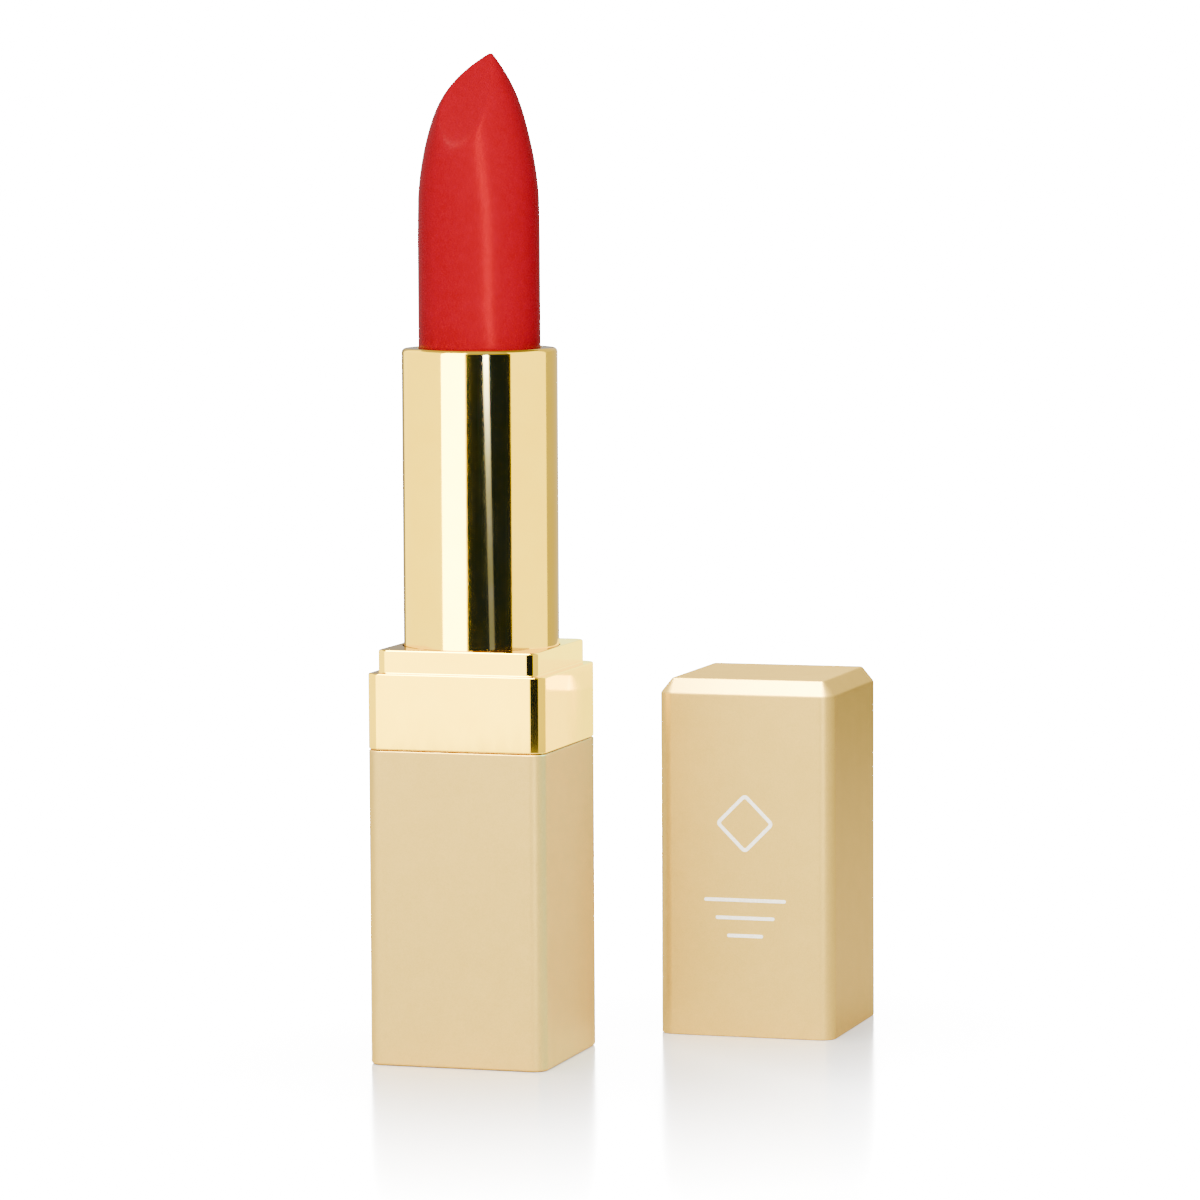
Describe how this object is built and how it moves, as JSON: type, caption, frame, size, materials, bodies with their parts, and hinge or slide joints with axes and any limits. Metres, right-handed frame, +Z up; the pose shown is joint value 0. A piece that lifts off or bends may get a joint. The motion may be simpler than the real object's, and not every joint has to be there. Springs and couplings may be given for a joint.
{
  "type": "lipstick case",
  "caption": "Slim square twist-up lipstick case with a polished band and tube, a raised slant-cut bullet and a pull-off cap standing beside it.",
  "frame": {"origin": "centre of the base's underside, on the axis that the mechanism turns about", "axes": "+Z up along the mechanism's axis; -Y is the front face; the cap stands towards +X and +Y"},
  "size_m": [0.0409, 0.0441, 0.0998],
  "materials": {
    "base_shell": "satin champagne lacquer",
    "base_weight": "plain",
    "base_liner": "moulded",
    "guide_tube": "moulded",
    "spiral_sleeve": "moulded",
    "gold_tube": "bright gold anodised",
    "collar": "gold metallised",
    "bullet_cup": "moulded",
    "bullet": "red wax, soft satin",
    "drag_ring": "plain",
    "shade_label": "blank paper",
    "cap_shell": "satin champagne lacquer",
    "cap_liner": "moulded"
  },
  "bodies": {
    "base": {"base_shell": "base_shell", "base_weight": "base_weight", "base_liner": "base_liner", "guide_tube": "guide_tube", "drag_ring": "drag_ring", "collar": "collar", "shade_label": "shade_label"},
    "swivel": {"spiral_sleeve": "spiral_sleeve", "gold_tube": "gold_tube"},
    "carrier": {"bullet_cup": "bullet_cup", "bullet": "bullet"},
    "cap": {"cap_shell": "cap_shell", "cap_liner": "cap_liner"}
  },
  "joints": [
    {"name": "base_twist", "type": "hinge", "parent": "base", "child": "swivel", "pos_m": [0, 0, 0.05], "axis": [0, 0, 1], "range_deg": [0, 720]},
    {"name": "bullet_slide", "type": "slide", "parent": "base", "child": "carrier", "axis": [0, 0, 1], "range_m": [-0.0316, 0]},
    {"name": "cap_lift", "type": "slide", "parent": "base", "child": "cap", "axis": [0, 0, 1], "range_m": [0, 0.075]}
  ],
  "couplings": [
    {"joint": "bullet_slide", "follows": "base_twist", "m_per_rad": -0.0025067}
  ]
}
